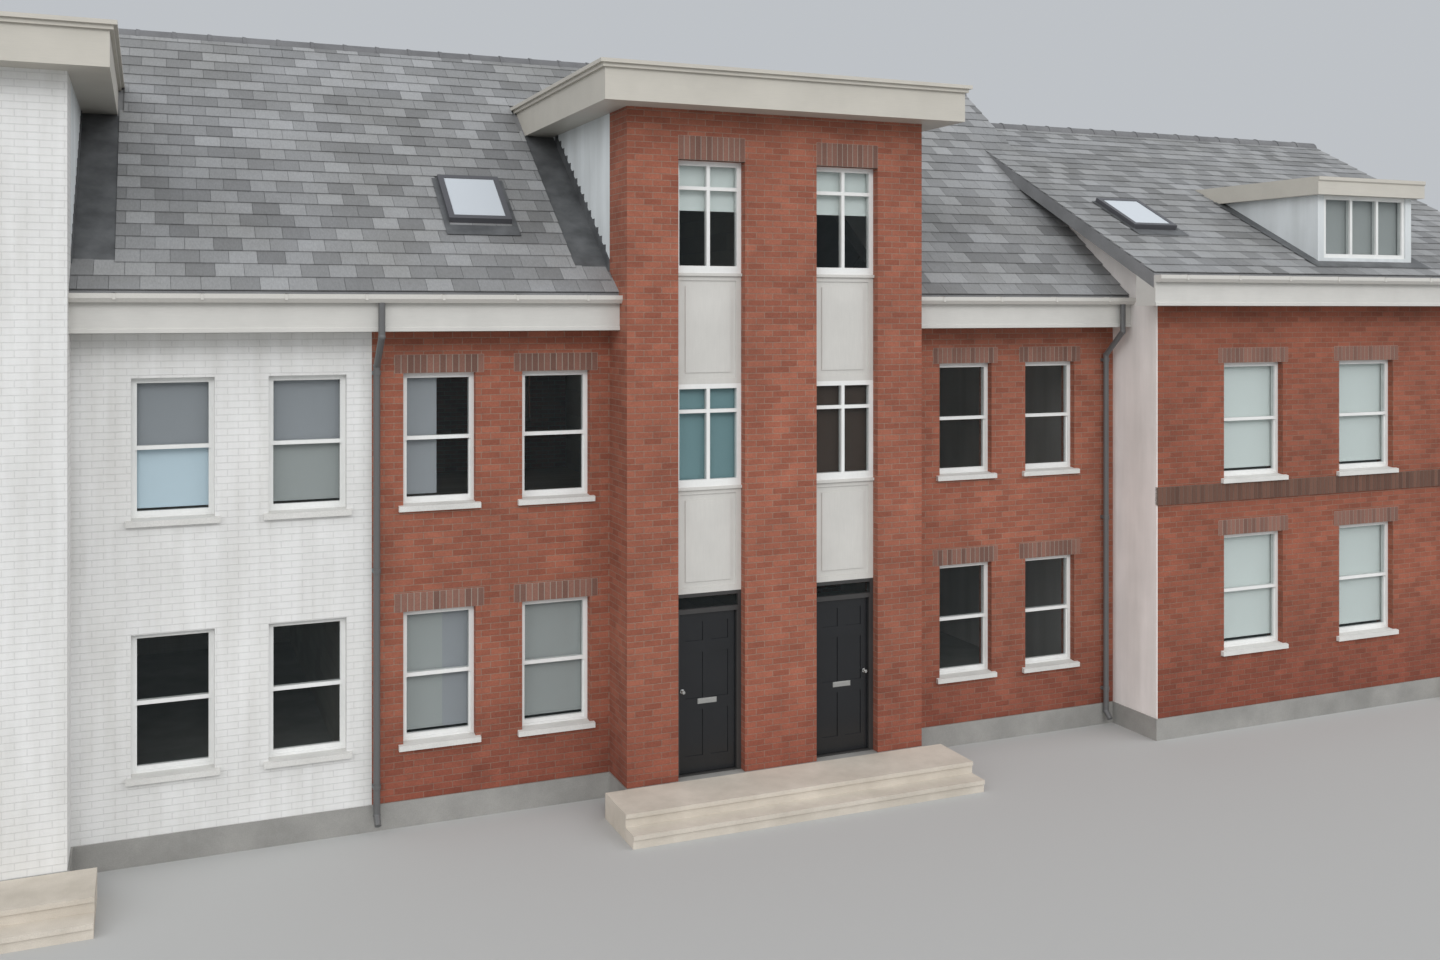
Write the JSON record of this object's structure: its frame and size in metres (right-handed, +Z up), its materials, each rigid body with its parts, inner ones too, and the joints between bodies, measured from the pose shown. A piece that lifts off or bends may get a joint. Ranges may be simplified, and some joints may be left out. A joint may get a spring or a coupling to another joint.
{
  "type": "terraced house row",
  "caption": "Row of joined two-storey houses with paired three-storey flat-roofed towers over their front doors, pitched slate roofs and a wider end house with a dormer.",
  "frame": {"origin": "on the ground under the middle of the row's box", "axes": "+X along the street, left to right as seen from it; +Y from the street to the back; +Z up"},
  "size_m": [28.61, 10.775, 9.7696],
  "materials": {
    "brick": "rough",
    "end_brick": "rough",
    "painted_render": "matte",
    "grey_render": "matte",
    "blockwork": "rough",
    "concrete": "rough",
    "floor_boards": "matte",
    "step_stone": "rough",
    "slate": "satin",
    "ridge_tile": "matte",
    "roof_membrane": "matte",
    "painted_wood": "satin",
    "painted_gutter": "satin",
    "lead": "satin",
    "window_frame": "satin",
    "glass": "polished",
    "sill_stone": "matte",
    "panel": "satin",
    "door_frame": "satin",
    "door_paint": "satin",
    "door_fittings": "polished",
    "rooflight_metal": "satin"
  },
  "bodies": {
    "row": {"row_plinth": "concrete", "tower_bases": "concrete", "end_plinth": "concrete", "ground_floors": "concrete", "first_floors": "floor_boards", "second_floors": "floor_boards", "landings": "step_stone", "white_front_walls": "painted_render", "brick_front_walls": "brick", "end_front_wall": "end_brick", "white_tower_front": "painted_render", "brick_tower_piers": "brick", "brick_tower_head": "brick", "tower_cheeks": "grey_render", "white_rear_wall": "painted_render", "brick_rear_wall": "brick", "end_rear_wall": "end_brick", "left_end_wall": "blockwork", "inner_party_walls": "blockwork", "end_left_wall": "grey_render", "right_end_wall": "blockwork", "main_gable": "grey_render", "string_course": "end_brick", "main_roof_front": "slate", "main_roof_rear": "slate", "end_roof_front": "slate", "end_roof_rear": "slate", "ridge_tiles": "ridge_tile", "tower_roof_decks": "roof_membrane", "tower_fascias": "painted_wood", "front_fascias": "painted_wood", "rear_fascias": "painted_wood", "gutters": "painted_gutter", "downpipes": "painted_gutter", "tower_flashings": "lead", "wing_window_frames": "window_frame", "end_window_frames": "window_frame", "tower_window_frames": "window_frame", "rear_window_frames": "window_frame", "window_glass": "glass", "tower_glass": "glass", "sills": "sill_stone", "tower_panels": "panel", "brick_door_frames": "door_frame", "fixed_door_frames": "door_frame", "fixed_doors": "door_paint", "rooflight_frames": "rooflight_metal", "rooflight_glass": "glass", "dormer_walls": "grey_render", "dormer_window_frame": "window_frame", "dormer_glass": "glass", "dormer_roof": "painted_wood"},
    "left_leaf": {"left_door": "door_paint", "left_door_furniture": "door_fittings"},
    "right_leaf": {"right_door": "door_paint", "right_door_furniture": "door_fittings"}
  },
  "joints": [
    {"name": "left_door_hinge", "type": "hinge", "parent": "row", "child": "left_leaf", "pos_m": [0.2515, -4.1345, 1.297], "axis": [0, 0, 1], "range_deg": [-90, 0]},
    {"name": "right_door_hinge", "type": "hinge", "parent": "row", "child": "right_leaf", "pos_m": [1.3285, -4.1345, 1.297], "axis": [0, 0, 1], "range_deg": [0, 90]}
  ]
}
